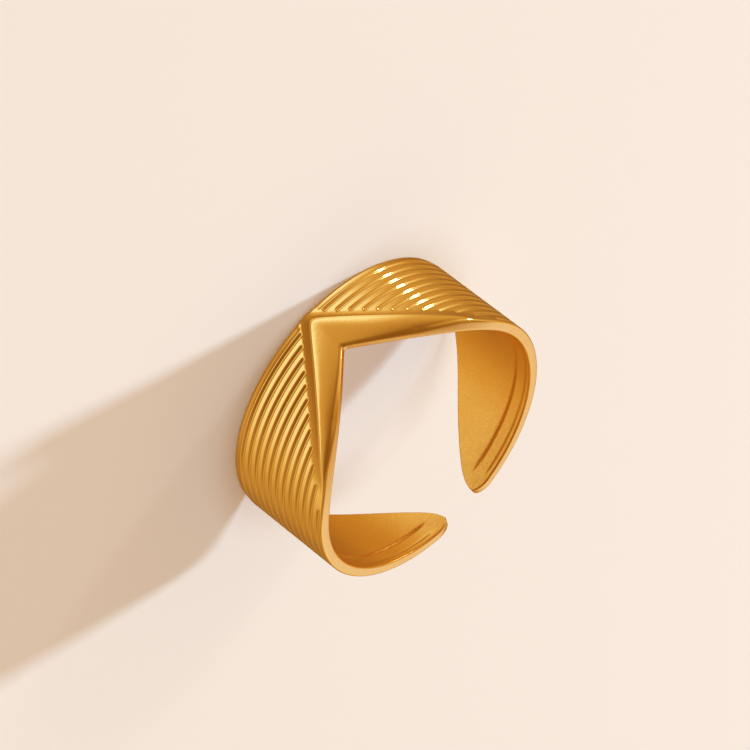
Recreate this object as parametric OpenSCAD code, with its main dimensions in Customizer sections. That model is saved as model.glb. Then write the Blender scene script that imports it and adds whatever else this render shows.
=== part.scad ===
// An open chevron ring of cast metal, lying on its side on its plain rear edge.
// The finger hole runs along Z, the chevron's point is at -Y and the open ends meet at +Y.
// Angles are measured round the finger hole from the chevron's point, in degrees.

/* [Ring size] */
// Radius of the finger hole
finger_radius = 8.5; // [7.5:0.1:10.5]
// Thickness of the wall
wall = 0.7; // [0.5:0.05:0.9]
// Width of the band at its sides
band_width = 7.55; // [6.5:0.05:9]
// Bevel of the wall's outer edges
edge_bevel = 0.1; // [0.05:0.01:0.2]

/* [Notch] */
// Width of the band that is left under the notch's corner
notch_floor = 3.15; // [2.5:0.05:4]
// Angle at which the notch's edge reaches the full width
notch_angle = 69; // [62:1:74]
// Fullness of the notch's edges, 1 for straight ones
notch_fullness = 1.7; // [1.3:0.05:2]

/* [Chevron] */
// Height of the chevron's crest at its point
crest_start = 0.45; // [0.2:0.05:0.8]
// Angle at which the crest's line reaches the full width
crest_angle = 58; // [54:1:60]
// Fullness of the crest's line, 1 for a straight one
crest_fullness = 1.33; // [1.1:0.01:1.6]
// Angle at which the crest has sunk into the wall
crest_end = 52; // [50:1:54]
// Height of the crest above the wall
crest_rise = 0.22; // [0.1:0.01:0.35]
// Share of its rise that the chevron's face loses from the crest to the notch
face_fall = 0.6; // [0.4:0.05:0.65]
// Width of the slope from the fluted wall up to the crest, along the hole
shoulder_width = 0.85; // [0.6:0.05:1.1]

/* [Flutes] */
// Number of flutes on each side
flute_count = 12; // [8:1:12]
// Radius of a flute's round bottom
flute_radius = 0.2; // [0.18:0.01:0.25]
// Depth of a flute in the wall
flute_depth = 0.12; // [0.08:0.01:0.15]
// Width of the plain rim between the rear edge and the first flute
rear_rim = 0.47; // [0.4:0.01:0.6]
// Width of the plain rim between the last flute and the notched side
front_rim = 0.17; // [0.16:0.01:0.4]
// Angle at which the flutes end behind the sides
flute_end = 118; // [100:1:125]

/* [Arms] */
// Angle at which the rear edge starts to rise
rise_angle = 88; // [85:1:92]
// Share of the rise that comes evenly, the rest coming near the ends
even_rise = 0.5; // [0.4:0.05:0.6]
// Angle at which the arms end
tip_angle = 172; // [168:1:174]
// Angle over which an arm's end is rounded
tip_round = 8; // [6:1:10]
// Distance from the arms' end points to the notched side
tip_drop = 0.55; // [0.4:0.05:1]

/* [Inner steps] */
// Width of the lip between an inner step and the notched side
step_lip = 0.35; // [0.25:0.05:0.6]
// Width of an inner step
step_width = 0.7; // [0.4:0.05:0.9]
// Depth of an inner step in the wall
step_depth = 0.1; // [0.05:0.01:0.15]
// Angle at which an inner step starts
step_start = 84; // [75:1:95]
// Angle at which an inner step ends
step_end = 164; // [155:1:166]

/* [Hidden] */
$fn = 128;
outer_radius = finger_radius + wall;
tip_height = band_width - tip_drop;
flute_half = sqrt(flute_radius ^ 2 - (flute_radius - flute_depth) ^ 2);
first_flute = rear_rim + flute_half;
last_flute = band_width - front_rim - flute_half;
flute_pitch = (last_flute - first_flute) / (flute_count - 1);
// Spare length of a cutting solid past the metal
spare = 0.5;
// Radii between which the outline and the chevron are drawn before the hole is cut
outline_inner = finger_radius - 1;
outline_outer = outer_radius + 1;
chevron_inner = finger_radius - 0.2;
// How far the chevron is drawn past the notch, and sunk into the wall at its shoulder's foot
overshoot = 0.3;
foot_depth = 0.1;
// Height left under the full width where the last flutes start and where the notch is closed
crest_reach = 0.1;
notch_margin = 4;
// Angles between two sections of the notch, the chevron and the arms
notch_step = 3;
chevron_step = 2.5;
arm_step = 6;
// Turns round an arm's rounded end at which it has a section
end_turns = [15:13:80];
// Softness of the rear edge's bend, as a share of its rise
rise_softness = 0.05;
// How late the crest sinks along its line, and how late its face falls towards the notch
crest_fade = 6;
face_roundness = 2.5;
// The chevron's middle points: on the shoulder, shares of its width and of the crest's rise,
// and on the face, shares of its width
shoulder_point = [0.35, 0.45];
face_shares = [0, 0.3, 0.6, 0.85];

// A point at an angle, a radius and a height
function at(angle, radius, height) = [radius * sin(angle), -radius * cos(angle), height];

// A line that climbs from a start to the full width and grows flatter on its way
function climb(angle, start, full_angle, fullness) =
    let (way = min(1, sin(min(abs(angle), 90)) / sin(full_angle)))
    start + (band_width - start) * (1 - (1 - way) ^ fullness);

function notch_edge(angle) = climb(angle, notch_floor, notch_angle, notch_fullness);
function crest_line(angle) = climb(angle, crest_start, crest_angle, crest_fullness);

// Angle at which the crest's line reaches a height
function crest_angle_at(height) =
    let (left = 1 - (height - crest_start) / (band_width - crest_start))
    asin((1 - left ^ (1 / crest_fullness)) * sin(crest_angle));

// Height of the rear edge, which is flat in front and climbs along the arms
function rear_edge(angle) =
    let (way = max(0, (abs(angle) - rise_angle) / (tip_angle - rise_angle)))
    let (even = norm([way, rise_softness]) - rise_softness)
    tip_height * (even_rise * even + (1 - even_rise) * way ^ 4);

// Heights between which the metal stays at an angle, past the flat sides where it is uncut
function low_side(angle) = abs(angle) <= rise_angle ? -spare : rear_edge(angle);
function high_side(angle) =
    let (rounded = (abs(angle) - tip_angle + tip_round) / tip_round)
    abs(angle) < notch_angle - notch_margin ? notch_edge(angle)
    : rounded <= 0 ? band_width + spare
    : tip_height + tip_drop * sqrt(1 - rounded ^ 2);

// Rows of points, one for each section, joined into a closed solid
module loft(sections) {
    rows = len(sections);
    row = len(sections[0]);
    sides = [for (i = [0:rows - 2], j = [0:row - 1])
        let (a = i * row + j, b = i * row + (j + 1) % row)
        each [[a, b, b + row], [a, b + row, a + row]]];
    first = [for (j = [row - 1:-1:0]) j];
    last = [for (j = [0:row - 1]) (rows - 1) * row + j];
    polyhedron([for (section = sections) each section], concat(sides, [first, last]), convexity = 10);
}

// The band's outline: the notch, the rising rear edge and the rounded ends
module band_outline() {
    front = [for (angle = [0:notch_step:notch_angle - notch_margin]) angle];
    arm = [for (angle = [notch_angle - 1:arm_step:tip_angle - tip_round - 2]) angle];
    end = [for (turn = end_turns) tip_angle - tip_round * (1 - sin(turn))];
    half = concat(front, arm, end);
    angles = concat([for (i = [len(half) - 1:-1:1]) -half[i]], half);
    loft([for (angle = angles) [
        at(angle, outline_inner, low_side(angle)),
        at(angle, outline_outer, low_side(angle)),
        at(angle, outline_outer, high_side(angle)),
        at(angle, outline_inner, high_side(angle)),
    ]]);
}

// One section of the chevron: up the shoulder, over the crest and down the face to past the notch
function chevron_section(angle) =
    let (
        rise = crest_rise * (1 - (abs(angle) / crest_end) ^ crest_fade),
        crest = crest_line(angle),
        edge = notch_edge(angle),
        foot = crest - shoulder_width,
        past = edge + overshoot
    ) [
        at(angle, chevron_inner, foot),
        at(angle, outer_radius - foot_depth, foot),
        at(angle, outer_radius + rise * shoulder_point[1], crest - shoulder_width * shoulder_point[0]),
        for (share = face_shares)
            let (fall = face_fall * share ^ face_roundness)
            at(angle, outer_radius + rise * (1 - fall), crest + (edge - crest) * share),
        at(angle, outer_radius + rise * (1 - face_fall), past),
        at(angle, chevron_inner, past),
    ];

module chevron() {
    reach = floor(crest_end / chevron_step) - 1;
    loft([for (i = [-reach:reach]) chevron_section(i * chevron_step)]);
}

// The wall before it is cut, solid to its middle
module blank() {
    translate([0, 0, -spare]) cylinder(r = outer_radius, h = band_width + 2 * spare);
}

// The flat rear and notched sides, with a bevel towards the outside
module flat_sides() {
    bevelled = outer_radius - edge_bevel;
    reach = outline_outer + spare - bevelled;
    rotate_extrude() polygon([
        [0, 0],
        [bevelled, 0],
        [bevelled + reach, reach],
        [bevelled + reach, band_width - reach],
        [bevelled, band_width],
        [0, band_width],
    ]);
}

// A bar bent round the ring, from one angle to another
module bent_bar(from, to) {
    rotate([0, 0, from - 90]) rotate_extrude(angle = to - from) children();
}

// Last angle at which the rear edge leaves its rim under a flute
function flute_stop(height) = max([for (angle = [rise_angle:1:flute_end])
    if (rear_edge(angle) <= height - rear_rim) angle]);

module flutes() {
    for (i = [0:flute_count - 1]) {
        height = first_flute + i * flute_pitch;
        crest = min(height + shoulder_width, band_width - crest_reach);
        bent_bar(crest_angle_at(crest), flute_stop(height))
            translate([outer_radius + flute_radius - flute_depth, height]) circle(r = flute_radius);
    }
}

module inner_step() {
    bent_bar(step_start, step_end)
        translate([finger_radius - spare, band_width - step_lip - step_width])
        square([spare + step_depth, step_width]);
}

module finger_hole() {
    translate([0, 0, -spare]) cylinder(r = finger_radius, h = band_width + 2 * spare);
}

module ring_band() {
    color("goldenrod") difference() {
        intersection() {
            union() {
                blank();
                chevron();
            }
            flat_sides();
            band_outline();
        }
        finger_hole();
        for (side = [0, 1]) mirror([side, 0, 0]) {
            flutes();
            inner_step();
        }
    }
}

ring_band();
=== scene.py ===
import math
import bmesh
import bpy
from mathutils import Matrix, Vector


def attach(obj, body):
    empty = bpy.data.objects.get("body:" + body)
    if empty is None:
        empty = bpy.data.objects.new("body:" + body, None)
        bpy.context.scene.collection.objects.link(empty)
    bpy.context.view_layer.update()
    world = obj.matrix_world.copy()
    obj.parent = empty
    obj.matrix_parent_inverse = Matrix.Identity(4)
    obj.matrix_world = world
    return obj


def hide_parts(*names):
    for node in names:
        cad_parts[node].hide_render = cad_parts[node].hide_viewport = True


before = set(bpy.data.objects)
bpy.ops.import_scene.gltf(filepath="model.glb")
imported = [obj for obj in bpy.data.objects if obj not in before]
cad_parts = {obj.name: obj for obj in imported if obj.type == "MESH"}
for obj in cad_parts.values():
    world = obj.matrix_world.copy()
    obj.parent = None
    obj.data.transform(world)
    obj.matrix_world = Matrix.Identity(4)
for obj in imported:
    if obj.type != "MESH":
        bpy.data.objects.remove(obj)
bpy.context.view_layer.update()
mm = 0.001

# Sizes are in millimetres. Angles are in degrees, round the finger hole from the chevron's point
band = {
    "fingerRadius": 8.5,
    "wall": 0.7,
    "width": 7.55,
    "outerRound": 0.13,
    "innerRound": 0.09,
    "skirt": 0.1,
    "riseAngle": 88,
    "riseEnd": 174,
    "evenRise": 0.5,
    "riseSoftness": 0.05,
    "tipAngle": 172,
    "tipRound": 8,
    "tipDrop": 0.55,
    "rearTipRound": 6,
    "rearTipFullness": 0.6,
}
notch = {
    "floor": 3.15,
    "fullAngle": 69,
    "fullness": 1.7,
    "softness": 0.6,
}
chevron = {
    "start": 0.45,
    "fullAngle": 58,
    "fullness": 1.33,
    "softness": 1.2,
    "fadeStart": 38,
    "fadeEnd": 54,
    "rise": 0.22,
    "faceFall": 0.42,
    "faceFullWidth": 1.3,
    "faceRoundness": 2.2,
    "pointRoundness": 1.6,
    "pointAngle": 16,
    "shoulderWidth": 0.95,
    "shoulderPower": 2.4,
    "shoulderEven": 0.75,
    "crestSoftness": 0.015,
    "crestSoftWidth": 0.05,
    "rollWidth": 0.32,
    "rollDepth": 0.16,
    "rollShare": 0.5,
}
grooves = {
    "count": 12,
    "first": 0.68,
    "last": 7.21,
    "depth": 0.11,
    "halfBottom": 0.038,
    "rearWall": 0.2,
    "nearWall": 0.075,
    "tipWall": 0.2,
    "rearShare": 0.65,
    "rearLean": 0.5,
    "tipLineStart": -0.4,
    "tipLineTop": 7.3,
    "tipLineAngle": 64,
    "tipLineFullness": 1.26,
    "tipLag": 0.08,
    "borderGap": 0.15,
    "rearRim": 0.47,
    "stopAngle": 118,
    "fade": 9,
    "taper": 0.65,
    "taperStart": 40,
    "taperEnd": 100,
}
rim = {
    "half": 0.46,
    "depth": 0.02,
    "slope": 0.11,
    "fullness": 7,
    "tipAngle": 7.2,
    "tipPower": 3,
    "fadeStart": 88,
    "fadeEnd": 106,
}
innerStep = {
    "low": 6.34,
    "high": 7.18,
    "soft": 0.2,
    "depth": 0.065,
    "start": 80,
    "full": 100,
    "end": 166,
    "fade": 8,
}

outerRadius = band["fingerRadius"] + band["wall"]
tipHeight = band["width"] - band["tipDrop"]
degreeLength = math.radians(outerRadius)
pitch = (grooves["last"] - grooves["first"]) / (grooves["count"] - 1)


def smooth(share):
    share = min(1, max(0, share))
    return share * share * (3 - 2 * share)


def climb(angle, start, end, fullAngle, fullness):
    way = math.sin(math.radians(min(angle, 90))) / math.sin(math.radians(fullAngle))
    return start + (end - start) * (1 - (1 - min(1, way)) ** fullness)


def notchLine(angle):
    soft = math.hypot(angle, notch["softness"])
    return climb(soft, notch["floor"], band["width"], notch["fullAngle"], notch["fullness"])


def crestLine(angle):
    soft = math.hypot(angle, chevron["softness"])
    return climb(soft, chevron["start"], band["width"], chevron["fullAngle"], chevron["fullness"])


def tipLine(angle):
    start, top = grooves["tipLineStart"], grooves["tipLineTop"]
    return climb(angle, start, top, grooves["tipLineAngle"], grooves["tipLineFullness"])


def tipLineAngle(height):
    start, top = grooves["tipLineStart"], grooves["tipLineTop"]
    way = 1 - max(0, (top - height) / (top - start)) ** (1 / grooves["tipLineFullness"])
    return math.degrees(math.asin(way * math.sin(math.radians(grooves["tipLineAngle"]))))


def nearEdge(angle):
    if angle < 90:
        return notchLine(angle)
    rounded = max(0, (angle - band["tipAngle"]) / band["tipRound"] + 1)
    return tipHeight + band["tipDrop"] * math.sqrt(max(0, 1 - rounded ** 2))


def risingLine(angle):
    way = max(0, (angle - band["riseAngle"]) / (band["riseEnd"] - band["riseAngle"]))
    even = math.hypot(way, band["riseSoftness"]) - band["riseSoftness"]
    return tipHeight * (band["evenRise"] * even + (1 - band["evenRise"]) * way ** 4)


def rearEdge(angle):
    roundStart = band["tipAngle"] - band["rearTipRound"]
    if angle <= roundStart:
        return risingLine(angle)
    way = min(1, (angle - roundStart) / band["rearTipRound"])
    return tipHeight - (tipHeight - risingLine(roundStart)) * (1 - way) ** band["rearTipFullness"]


def grooveStop(height):
    angle = band["riseAngle"]
    while angle < grooves["stopAngle"] and rearEdge(angle) <= height - grooves["rearRim"]:
        angle += 1
    return angle


grooveEnds = []
for i in range(grooves["count"]):
    bottom = grooves["first"] + i * pitch
    start = tipLineAngle(bottom - grooves["tipLag"]) + grooves["tipWall"] / degreeLength
    grooveEnds.append((start, grooveStop(bottom)))


def grooveDepth(angle, height):
    # The wall on the rear side is the wide and gentle one
    i = math.floor((height - grooves["first"]) / pitch + grooves["rearShare"])
    i = min(max(i, 0), grooves["count"] - 1)
    start, stop = grooveEnds[i]
    offset = height - grooves["first"] - i * pitch
    wall = grooves["rearWall"] if offset < 0 else grooves["nearWall"]
    across = max(0, abs(offset) - grooves["halfBottom"]) / wall
    along = max(0, start - angle) * degreeLength / grooves["tipWall"]
    away = min(1, math.hypot(across, along))
    lean = grooves["rearLean"] * across / away if offset < 0 < away else 0
    taper = smooth((angle - grooves["taperStart"]) / (grooves["taperEnd"] - grooves["taperStart"]))
    depth = grooves["depth"] * (1 - grooves["taper"] * taper) * smooth((stop - angle) / grooves["fade"])
    return depth * smooth((1 - away) ** (1 + lean))


def rimDepth(angle, height):
    across = height / rim["half"]
    along = max(0, rim["tipAngle"] - angle) * degreeLength / rim["half"]
    away = min(1, (across ** rim["tipPower"] + along ** rim["tipPower"]) ** (1 / rim["tipPower"]))
    fade = smooth((rim["fadeEnd"] - angle) / (rim["fadeEnd"] - rim["fadeStart"]))
    depth = rim["depth"] + rim["slope"] * max(0, rim["half"] - height)
    return depth * (1 - away ** rim["fullness"]) * fade


def chevronRise(angle, height):
    # Up the shoulder to the crest, then down the rounded face to the notch
    crest = crestLine(angle)
    past = height - crest
    fade = smooth((chevron["fadeEnd"] - angle) / (chevron["fadeEnd"] - chevron["fadeStart"]))
    up = max(0, 1 + min(0, past) / chevron["shoulderWidth"])
    even = chevron["shoulderEven"]
    rise = chevron["rise"] * (even * up + (1 - even) * up ** chevron["shoulderPower"])
    soft = chevron["crestSoftness"] * math.exp(-(past / chevron["crestSoftWidth"]) ** 2)
    width = max(0.01, notchLine(angle) - crest)
    way = min(1, max(0, past) / width)
    share = smooth(angle / chevron["pointAngle"])
    roundness = chevron["pointRoundness"] * (1 - share) + chevron["faceRoundness"] * share
    fall = chevron["faceFall"] * min(1, width / chevron["faceFullWidth"]) * way ** roundness
    return fade * (rise - soft) - fall


def outside(angle, height):
    lowered = max(grooveDepth(angle, height), rimDepth(angle, height))
    return outerRadius - lowered + chevronRise(angle, height)


def inside(angle, height):
    wide = smooth((height - innerStep["low"]) / innerStep["soft"] + 0.5)
    wide *= smooth((innerStep["high"] - height) / innerStep["soft"] + 0.5)
    long = smooth((angle - innerStep["start"]) / (innerStep["full"] - innerStep["start"]))
    long *= smooth((innerStep["end"] - angle) / innerStep["fade"])
    return band["fingerRadius"] + innerStep["depth"] * wide * long


def sectionPoint(angle, zone, value):
    # Radius and height of one row's point at an angle
    angle = abs(angle)
    low, high = rearEdge(angle), nearEdge(angle)
    room = max(0, high - low) / 2
    faceWidth = max(0, high - crestLine(angle))
    rollWidth = max(band["outerRound"], min(chevron["rollWidth"], faceWidth * chevron["rollShare"]))
    rollDepth = chevron["rollDepth"] / chevron["rollWidth"] * rollWidth
    rollWidth, rollDepth = min(rollWidth, room), min(max(rollDepth, band["outerRound"]), room)
    outerRound, innerRound = min(band["outerRound"], room), min(band["innerRound"], room)
    foot = low + outerRound
    top = max(foot, high - rollWidth)
    skirt = min(band["skirt"], (top - foot) / 2)
    border = min(max(foot + skirt, tipLine(angle) + grooves["borderGap"]), top)
    crest = min(max(border, crestLine(angle)), top)
    innerEdge = band["fingerRadius"] + innerRound
    innerLow, innerHigh = low + innerRound, high - innerRound
    innerSkirt = min(band["skirt"], (innerHigh - innerLow) / 2)
    if zone == "foot":
        height = foot + skirt * value
        return outside(angle, height), height
    if zone == "wall":
        height = min(max(foot + skirt, value), border)
        return outside(angle, height), height
    if zone == "shoulder":
        height = border + (crest - border) * value
        return outside(angle, height), height
    if zone == "face":
        height = crest + (top - crest) * value
        return outside(angle, height), height
    turn = math.radians(value * 90)
    if zone == "roll":
        height = top + (high - top) * math.sin(turn)
        return outside(angle, height) - rollDepth * (1 - math.cos(turn)), height
    if zone == "side":
        start = outside(angle, high) - rollDepth
        return start + (innerEdge - start) * value, high
    if zone == "nearInnerRound":
        return innerEdge - innerRound * math.sin(turn), high - innerRound * (1 - math.cos(turn))
    if zone == "insideTop":
        height = innerHigh - innerSkirt * value
        return inside(angle, height), height
    if zone == "inside":
        height = min(max(innerLow + innerSkirt, value), innerHigh - innerSkirt)
        return inside(angle, height), height
    if zone == "insideFoot":
        height = innerLow + innerSkirt * value
        return inside(angle, height), height
    if zone == "rearInnerRound":
        return innerEdge - innerRound * math.cos(turn), low + innerRound * (1 - math.sin(turn))
    start = outside(angle, foot) - outerRound
    if zone == "rear":
        return innerEdge + (start - innerEdge) * value, low
    return start + outerRound * math.sin(turn), low + outerRound * (1 - math.cos(turn))


def placeInSection(angle, zone, value):
    radius, height = sectionPoint(angle, zone, value)
    turn = math.radians(angle)
    return Vector((radius * math.sin(turn), -radius * math.cos(turn), height)) * mm


mesh = {
    "skirtRows": [0.3, 0.65, 1],
    "rimRows": [0.31, 0.37],
    "grooveRows": [-0.3, -0.25, -0.21, -0.175, -0.14, -0.105, -0.07, -0.035,
                   0.035, 0.055, 0.075, 0.095, 0.12, 0.17],
    "shoulderRows": [0.15, 0.3, 0.45, 0.6, 0.72, 0.82, 0.9, 0.95, 0.98, 1],
    "faceRows": [0.01, 0.025, 0.045, 0.07, 0.1, 0.15, 0.2, 0.27, 0.34,
                 0.41, 0.48, 0.56, 0.64, 0.72, 0.8, 0.87, 0.94, 1],
    "rollRows": [0.12, 0.24, 0.37, 0.5, 0.63, 0.76, 0.88, 1],
    "flatRows": [0.33, 0.67, 1],
    "roundRows": [0.33, 0.67, 1],
    "insideRows": [7.33, 7.25, 7.22, 7.19, 7.16, 7.1, 6.95, 6.75, 6.6, 6.5, 6.44, 6.4,
                   6.36, 6.32, 6.28, 6.24, 6.1, 5.5, 4.7, 3.9, 3.1, 2.3, 1.5, 0.7],
    "pointColumns": [0, 0.5, 1, 1.5, 2],
    "tipStep": 0.4,
    "tipEnd": 66,
    "sideStep": 2.2,
    "endTurns": 9,
    "mergeDistance": 0.0008,
    "thinDistance": 0.0004,
}


def bandRows():
    rows = [("foot", 0)]
    rows += [("foot", value) for value in mesh["skirtRows"]]
    rows += [("wall", height) for height in mesh["rimRows"]]
    for i in range(grooves["count"]):
        rows += [("wall", grooves["first"] + i * pitch + offset) for offset in mesh["grooveRows"]]
    for zone, name in (("shoulder", "shoulderRows"), ("face", "faceRows"), ("roll", "rollRows"),
                       ("side", "flatRows"), ("nearInnerRound", "roundRows"), ("insideTop", "skirtRows"),
                       ("inside", "insideRows")):
        rows += [(zone, value) for value in mesh[name]]
    rows += [("insideFoot", value) for value in reversed(mesh["skirtRows"])] + [("insideFoot", 0)]
    for zone, name in (("rearInnerRound", "roundRows"), ("rear", "flatRows")):
        rows += [(zone, value) for value in mesh[name]]
    rows += [("rearRound", value) for value in mesh["roundRows"][:-1]]
    return rows + [("foot", 0)]


def bandColumns():
    half = list(mesh["pointColumns"])
    ends = ((mesh["tipEnd"], mesh["tipStep"]), (band["tipAngle"] - band["tipRound"], mesh["sideStep"]))
    for end, step in ends:
        start = half[-1]
        count = math.ceil((end - start) / step)
        half += [start + (end - start) * (i + 1) / count for i in range(count)]
    for i in range(mesh["endTurns"]):
        turn = math.radians(90 * (i + 1) / mesh["endTurns"])
        half.append(band["tipAngle"] - band["tipRound"] * (1 - math.sin(turn)))
    return [-angle for angle in reversed(half[1:])] + half


finishOfZone = {"side": 1}
# The inside and its rounds take the satin finish, with painted shade in its colour
for zone in ("nearInnerRound", "insideTop", "inside", "insideFoot", "rearInnerRound"):
    finishOfZone[zone] = 2


def makeBand():
    rows = bandRows()
    columns = bandColumns()
    bm = bmesh.new()
    across, along = len(columns) - 1, len(rows) - 1
    bmesh.ops.create_grid(bm, x_segments=across, y_segments=along, size=0.5)
    for face in bm.faces:
        face.smooth = True
        row = math.ceil((face.calc_center_median().y + 0.5) * along)
        face.material_index = finishOfZone.get(rows[row][0], 0)
    for vert in bm.verts:
        column = columns[round((vert.co.x + 0.5) * across)]
        vert.co = placeInSection(column, *rows[round((vert.co.y + 0.5) * along)])
    bmesh.ops.remove_doubles(bm, verts=bm.verts, dist=mesh["mergeDistance"] * mm)
    bmesh.ops.dissolve_degenerate(bm, dist=mesh["thinDistance"] * mm, edges=bm.edges)
    bmesh.ops.recalc_face_normals(bm, faces=bm.faces)
    data = bpy.data.meshes.new("ringBand")
    bm.to_mesh(data)
    openEdges = sum(not edge.is_manifold for edge in bm.edges)
    triangles = sum(len(face.verts) - 2 for face in bm.faces)
    print("band:", len(columns), "columns,", len(rows), "rows,", triangles, "triangles,", openEdges, "open")
    bm.free()
    piece = bpy.data.objects.new("ringBand", data)
    bpy.context.scene.collection.objects.link(piece)
    return piece


ringBand = makeBand()


class Wire:
    # A socket of a node, on which sums add Math nodes
    def __init__(self, finish, socket):
        self.finish = finish
        self.socket = socket

    def maths(self, operation, *others):
        return self.finish.node("ShaderNodeMath", {"operation": operation}, dict(enumerate((self, *others))))

    def __add__(self, other):
        return self.maths("ADD", other)

    def __radd__(self, other):
        return self.maths("ADD", other)

    def __sub__(self, other):
        return self.maths("SUBTRACT", other)

    def __mul__(self, other):
        return self.maths("MULTIPLY", other)

    def __rmul__(self, other):
        return self.maths("MULTIPLY", other)


class Finish:
    def __init__(self, name, owner=None):
        self.owner = owner or bpy.data.materials.new(name)
        self.owner.use_nodes = True
        self.tree = self.owner.node_tree
        self.tree.nodes.clear()

    def node(self, kind, settings=None, inputs=None, output=0):
        made = self.tree.nodes.new(kind)
        for name, value in (settings or {}).items():
            if name == "stops":
                ramp = made.color_ramp.elements
                ramp[0].color, ramp[1].color = (*value[0][1], 1), (*value[-1][1], 1)
                for place, colour in value[1:-1]:
                    ramp.new(place).color = (*colour, 1)
            else:
                setattr(made, name, value)
        for name, value in (inputs or {}).items():
            if isinstance(value, Wire):
                self.tree.links.new(value.socket, made.inputs[name])
            else:
                made.inputs[name].default_value = value
        return Wire(self, made.outputs[output]) if len(made.outputs) else made

    def place(self, output="Object"):
        return self.node("ShaderNodeTexCoord", output=output)

    def along(self, vector, axis):
        return self.node("ShaderNodeVectorMath", {"operation": "DOT_PRODUCT"}, {0: vector, 1: axis}, output=1)

    def noise(self, scale, detail=2, roughness=0.5, place=None):
        inputs = {"Vector": place or self.place(), "Scale": scale, "Detail": detail, "Roughness": roughness}
        return self.node("ShaderNodeTexNoise", {}, inputs)

    def mix(self, share, first, second):
        return self.node("ShaderNodeMix", {"data_type": "RGBA"}, {0: share, 6: first, 7: second}, output=2)

    def bump(self, height, distance, strength=1, under=None):
        inputs = {"Height": height, "Distance": distance, "Strength": strength}
        if under:
            inputs["Normal"] = under
        return self.node("ShaderNodeBump", {}, inputs)

    def metal(self, colour, roughness, normal):
        shader = self.node("ShaderNodeBsdfPrincipled", {}, {
            "Base Color": colour, "Metallic": 1.0, "Roughness": roughness, "Normal": normal})
        self.node("ShaderNodeOutputMaterial", {}, {"Surface": shader})
        return self.owner


polished = {
    "warm": (1, 0.74, 0.29, 1),
    "pale": (1, 0.82, 0.37, 1),
    "cloudScale": 260,
    "roughness": 0.09,
    "roughnessSpread": 0.08,
    "waveScale": 900,
    "waveDepth": 0.01,
    "waveStrength": 0.6,
    "grainScale": 5000,
    "grainDepth": 0.003,
    "grainStrength": 0.8,
}
brushed = {
    "warm": (1, 0.74, 0.41, 1),
    "pale": (1, 0.83, 0.54, 1),
    "cloudScale": 1500,
    "roughness": 0.3,
    "roughnessSpread": 0.14,
    "grainScale": 9000,
    "grainDepth": 0.008,
    "grainStrength": 0.6,
}
# Satin finish of the inside: roughness, waves and grain are the finish, and its darker, deeper gold colours
# are painted shade of the ring's inside
satinAndShade = {
    "warm": (0.9, 0.54, 0.12, 1),
    "pale": (0.96, 0.64, 0.17, 1),
    "cloudScale": 450,
    "roughness": 0.3,
    "roughnessSpread": 0.2,
    "waveScale": 1100,
    "waveDepth": 0.012,
    "waveStrength": 0.6,
    "grainScale": 7000,
    "grainDepth": 0.012,
    "grainStrength": 0.8,
}


def spreadRoughness(pattern, look):
    return pattern * look["roughnessSpread"] + (look["roughness"] - look["roughnessSpread"] / 2)


def polishedGold():
    finish = Finish("polishedGold")
    cloud = finish.noise(polished["cloudScale"], 3)
    grain = finish.noise(polished["grainScale"])
    colour = finish.mix(cloud, polished["warm"], polished["pale"])
    roughness = spreadRoughness(cloud, polished)
    waves = finish.noise(polished["waveScale"])
    normal = finish.bump(waves, polished["waveDepth"] * mm, polished["waveStrength"])
    normal = finish.bump(grain, polished["grainDepth"] * mm, polished["grainStrength"], normal)
    return finish.metal(colour, roughness, normal)


def brushedGold():
    finish = Finish("brushedGold")
    cloud = finish.noise(brushed["cloudScale"], 3)
    grain = finish.noise(brushed["grainScale"])
    colour = finish.mix(cloud, brushed["warm"], brushed["pale"])
    roughness = spreadRoughness(grain, brushed)
    normal = finish.bump(grain, brushed["grainDepth"] * mm, brushed["grainStrength"])
    return finish.metal(colour, roughness, normal)


def satinGoldAndShade():
    finish = Finish("satinGoldAndShade")
    cloud = finish.noise(satinAndShade["cloudScale"], 4, 0.6)
    grain = finish.noise(satinAndShade["grainScale"], 3, 0.6)
    # Painted shade: the inside's gold is mixed darker and deeper than the polished outside
    colour = finish.mix(cloud, satinAndShade["warm"], satinAndShade["pale"])
    roughness = spreadRoughness(grain, satinAndShade)
    waves = finish.noise(satinAndShade["waveScale"])
    normal = finish.bump(waves, satinAndShade["waveDepth"] * mm, satinAndShade["waveStrength"])
    normal = finish.bump(grain, satinAndShade["grainDepth"] * mm, satinAndShade["grainStrength"], normal)
    return finish.metal(colour, roughness, normal)


for finish in (polishedGold(), brushedGold(), satinGoldAndShade()):
    ringBand.data.materials.append(finish)
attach(ringBand, "root")
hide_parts("ring_band")
print("finishes made")

studio = {
    "floorSize": 2.4,
    "floorColour": (0.95, 0.93, 0.91, 1),
    "floorRoughness": 0.6,
    "floorSpecular": 0.3,
    "skyLow": -0.25,
    "skyHigh": 0.75,
    "skyLowGlow": 0.53,
    "skyHighGlow": 0.07,
    "boxSideFade": 3,
    "middle": 4,
}


def direction(azimuth, elevation):
    # Azimuth 0 is in front of the ring, at -Y, and 90 at +X
    a, e = math.radians(azimuth), math.radians(elevation)
    return Vector((math.sin(a) * math.cos(e), -math.cos(a) * math.cos(e), math.sin(e)))


def makeFloor():
    bm = bmesh.new()
    bmesh.ops.create_grid(bm, x_segments=1, y_segments=1, size=studio["floorSize"] / 2)
    data = bpy.data.meshes.new("floor")
    bm.to_mesh(data)
    bm.free()
    floor = bpy.data.objects.new("floor", data)
    bpy.context.scene.collection.objects.link(floor)
    finish = Finish("floorPaint")
    shader = finish.node("ShaderNodeBsdfPrincipled", {}, {
        "Base Color": studio["floorColour"],
        "Roughness": studio["floorRoughness"],
        "Specular IOR Level": studio["floorSpecular"],
    })
    finish.node("ShaderNodeOutputMaterial", {}, {"Surface": shader})
    data.materials.append(finish.owner)
    floor.visible_glossy = False


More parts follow.
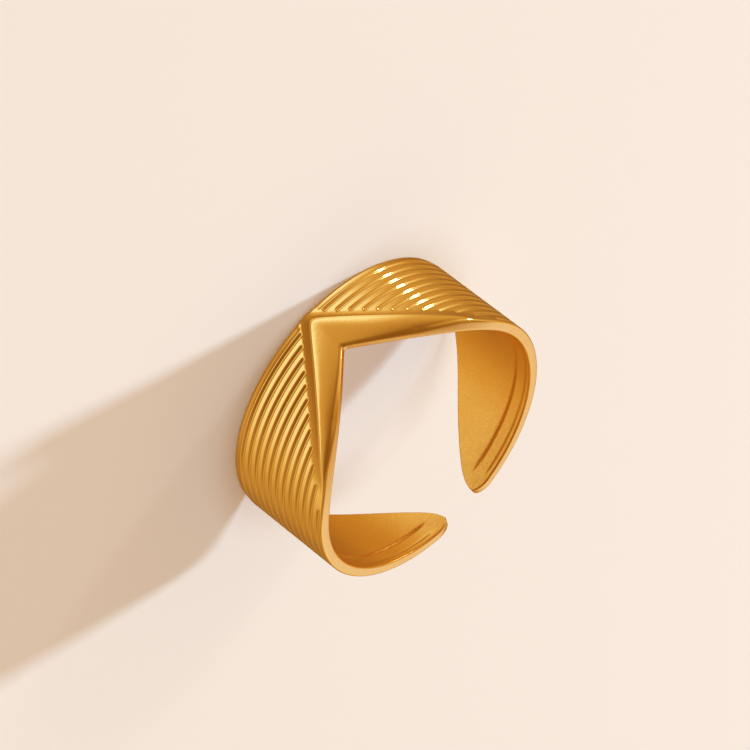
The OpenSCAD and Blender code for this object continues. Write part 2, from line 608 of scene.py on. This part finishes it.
lamps = {
    "sunLamp": {"azimuth": -121, "elevation": 12.5, "distance": 1.2, "size": 0.09, "power": 23,
                "colour": (0.68, 0.84, 1), "reflected": False},
    "glintLamp": {"azimuth": -81, "elevation": 21, "distance": 1.2, "size": 0.13, "power": 1.2,
                  "colour": (1, 0.98, 0.95), "reflected": True},
    "fillLamp": {"azimuth": 0, "elevation": 89, "distance": 0.8, "size": 0.5, "power": 2.3,
                 "colour": (0.74, 0.9, 1), "reflected": False},
}


def makeLamp(name, lamp):
    toLamp = direction(lamp["azimuth"], lamp["elevation"])
    data = bpy.data.lights.new(name, "AREA")
    data.size = lamp["size"]
    data.energy = lamp["power"]
    data.color = lamp["colour"]
    made = bpy.data.objects.new(name, data)
    made.location = toLamp * lamp["distance"] + Vector((0, 0, studio["middle"] * mm))
    made.rotation_mode = "QUATERNION"
    made.rotation_quaternion = toLamp.to_track_quat("Z", "Y")
    made.visible_glossy = lamp["reflected"]
    bpy.context.scene.collection.objects.link(made)


# Soft level bands of light and shade round the ring: half widths and heights are sines of angles
softBoxes = {
    "frontBox": {"azimuth": 40, "elevation": -27, "halfWidth": 0.85, "halfHeight": 0.15, "glow": 0.42},
    "leftBox": {"azimuth": -26, "elevation": -33, "halfWidth": 0.5, "halfHeight": 0.3, "glow": 0.31},
    "rightShade": {"azimuth": -150, "elevation": -30, "halfWidth": 0.6, "halfHeight": 0.4, "glow": -0.27},
    "leftShade": {"azimuth": 150, "elevation": -30, "halfWidth": 0.6, "halfHeight": 0.4, "glow": -0.2},
    "lowBox": {"azimuth": -62, "elevation": -41, "halfWidth": 0.4, "halfHeight": 0.1, "glow": 0.3},
    "lowShade": {"azimuth": 0, "elevation": -57, "halfWidth": 0.95, "halfHeight": 0.15, "glow": -0.3},
    "highBox": {"azimuth": -42, "elevation": 44, "halfWidth": 0.4, "halfHeight": 0.22, "glow": 0.32},
    "glintBox": {"azimuth": -83, "elevation": 26, "halfWidth": 0.5, "halfHeight": 0.27, "glow": 0.5},
    "backBox": {"azimuth": 180, "elevation": 30, "halfWidth": 0.8, "halfHeight": 0.26, "glow": 0.66},
    "topBox": {"azimuth": 180, "elevation": 60, "halfWidth": 1, "halfHeight": 0.3, "glow": 0.25},
}
skyStops = [
    (0, (0.2, 0.075, 0.012)),
    (0.25, (0.36, 0.16, 0.035)),
    (0.5, (0.62, 0.33, 0.09)),
    (0.75, (0.85, 0.58, 0.25)),
    (1, (1.05, 1, 0.85)),
]


def softBoxGlow(finish, box):
    forward = direction(box["azimuth"], 0)
    way = finish.place("Generated")
    across = finish.along(way, Vector((0, 0, 1)).cross(forward)) * (1 / box["halfWidth"])
    height = finish.along(way, (0, 0, 1)) - math.sin(math.radians(box["elevation"]))
    above = height * (1 / box["halfHeight"])
    away = across * across + above * above
    glow = (away * away * -1).maths("EXPONENT")
    ahead = (finish.along(way, forward) * studio["boxSideFade"] + 1).maths("MINIMUM", 1).maths("MAXIMUM", 0)
    return glow * ahead * box["glow"]


def makeSky():
    world = bpy.data.worlds.new("sky")
    bpy.context.scene.world = world
    finish = Finish("sky", world)
    height = finish.along(finish.place("Generated"), (0, 0, 1))
    glow = finish.node("ShaderNodeMapRange", {"interpolation_type": "SMOOTHSTEP"}, {
        "Value": height, "From Min": studio["skyLow"], "From Max": studio["skyHigh"],
        "To Min": studio["skyLowGlow"], "To Max": studio["skyHighGlow"]})
    glow = sum((softBoxGlow(finish, box) for box in softBoxes.values()), glow)
    colour = finish.node("ShaderNodeValToRGB", {"stops": skyStops}, {"Fac": glow})
    sky = finish.node("ShaderNodeBackground", {}, {"Color": colour, "Strength": 1})
    finish.node("ShaderNodeOutputWorld", {}, {"Surface": sky})


view = {
    "azimuth": 10.76,
    "elevation": 27.99,
    "roll": 127.76,
    "distance": 250,
    "lens": 197.16,
    "shift": (-0.02044, 0.0589),
    "clipStart": 0.01,
}


def makeCamera():
    back = direction(view["azimuth"], view["elevation"])
    right = Vector((0, 0, 1)).cross(back).normalized()
    r = math.radians(view["roll"])
    up = back.cross(right)
    across = right * math.cos(r) + up * math.sin(r)
    upward = up * math.cos(r) - right * math.sin(r)
    data = bpy.data.cameras.new("camera")
    data.lens = view["lens"]
    data.shift_x, data.shift_y = view["shift"]
    data.clip_start = view["clipStart"]
    camera = bpy.data.objects.new("camera", data)
    place = back * view["distance"] * mm + Vector((0, 0, studio["middle"] * mm))
    camera.matrix_world = Matrix.Translation(place) @ Matrix((across, upward, back)).transposed().to_4x4()
    bpy.context.scene.collection.objects.link(camera)
    bpy.context.scene.camera = camera


makeFloor()
for name, lamp in lamps.items():
    makeLamp(name, lamp)
makeSky()
makeCamera()
bpy.context.scene.view_settings.view_transform = "Standard"
print("studio made")
